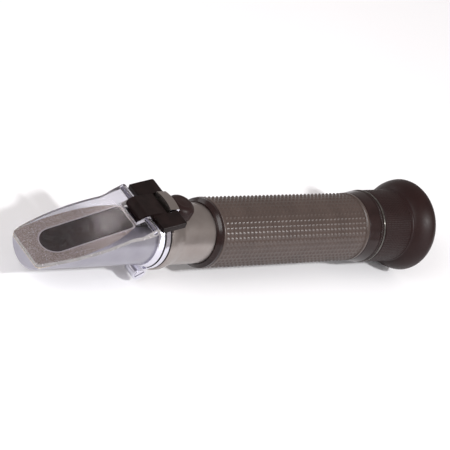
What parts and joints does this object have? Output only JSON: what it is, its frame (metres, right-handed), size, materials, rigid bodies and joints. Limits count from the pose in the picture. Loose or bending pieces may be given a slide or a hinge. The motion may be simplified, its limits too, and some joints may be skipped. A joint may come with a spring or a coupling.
{
  "type": "hand-held refractometer",
  "caption": "Hand-held optical refractometer with a hinged daylight plate over a sloped prism, a knurled grip, a calibration screw and a focusing eyepiece with a rubber eyecup.",
  "frame": {"origin": "on the optical axis, halfway along the instrument, which is the centre of its bounding box", "axes": "+X along the optical axis towards the eyepiece, +Z towards the hinge and the calibration screw"},
  "size_m": [0.207, 0.0382, 0.0382],
  "materials": {
    "satin_aluminium": "satin, fine turned lines",
    "polished_chrome": "polished",
    "black_plastic": "moulded, slight sheen",
    "clear_acrylic": "clear, polished",
    "optical_glass": "polished",
    "seal_silicone": "pale silicone",
    "black_rubber": "moulded matt",
    "grip_rubber": "knurled, matt",
    "black_enamel": "glossy black enamel",
    "black_anodised": "black anodised",
    "brass": "turned",
    "steel": "drawn"
  },
  "bodies": {
    "instrument": {"prism_head": "satin_aluminium", "main_prism": "optical_glass", "prism_gasket": "seal_silicone", "prism_bed": "black_rubber", "head_seal": "black_rubber", "hinge_pin": "polished_chrome", "hinge_block": "black_plastic", "clamp_hoop": "polished_chrome", "clamp_screw": "polished_chrome", "main_tube": "satin_aluminium", "calibration_bush": "brass", "front_stop_ring": "black_anodised", "rear_stop_ring": "black_anodised", "return_spring": "steel", "light_stop": "black_anodised", "reticle_holder": "black_anodised", "reticle": "optical_glass", "reticle_retainer": "black_anodised", "front_trim_ring": "black_enamel", "grip_sleeve": "grip_rubber", "rear_trim_ring": "black_enamel", "eyepiece_housing": "black_anodised", "focus_stop_ring": "black_anodised"},
    "plate": {"daylight_plate": "clear_acrylic"},
    "cap": {"calibration_cap": "black_rubber"},
    "objective": {"objective_carrier": "black_anodised", "crown_lens": "optical_glass", "flint_lens": "optical_glass", "objective_retainer": "black_anodised"},
    "calibrator": {"calibration_screw": "brass"},
    "focus": {"focus_ring": "black_enamel", "eyecup": "black_rubber"},
    "ocular": {"ocular_cell": "black_anodised", "focus_pin": "steel", "field_lens": "optical_glass", "lens_spacer": "black_anodised", "eye_lens": "optical_glass", "ocular_retainer": "black_anodised"}
  },
  "joints": [
    {"name": "plate_hinge", "type": "hinge", "parent": "instrument", "child": "plate", "pos_m": [-0.0575, 0, 0.0129], "axis": [0, 1, 0], "range_deg": [0, 115]},
    {"name": "cap_pull", "type": "slide", "parent": "instrument", "child": "cap", "axis": [0, 0, 1], "range_m": [0, 0.012]},
    {"name": "objective_shift", "type": "slide", "parent": "instrument", "child": "objective", "axis": [0, 0, 1], "range_m": [-0.0003, 0.0003], "deforming": ["return_spring"]},
    {"name": "calibration_turn", "type": "hinge", "parent": "objective", "child": "calibrator", "pos_m": [-0.0369, 0, 0.012], "axis": [0, 0, 1], "range_deg": [-220, 220]},
    {"name": "focus_turn", "type": "hinge", "parent": "instrument", "child": "focus", "pos_m": [0.079, 0, 0], "axis": [1, 0, 0], "range_deg": [-150, 150]},
    {"name": "ocular_slide", "type": "slide", "parent": "instrument", "child": "ocular", "axis": [1, 0, 0], "range_m": [-0.0025, 0.0025]}
  ],
  "couplings": [
    {"joint": "calibration_turn", "follows": "objective_shift", "rad_per_m": 12566},
    {"joint": "ocular_slide", "follows": "focus_turn", "m_per_rad": 0.000954}
  ]
}
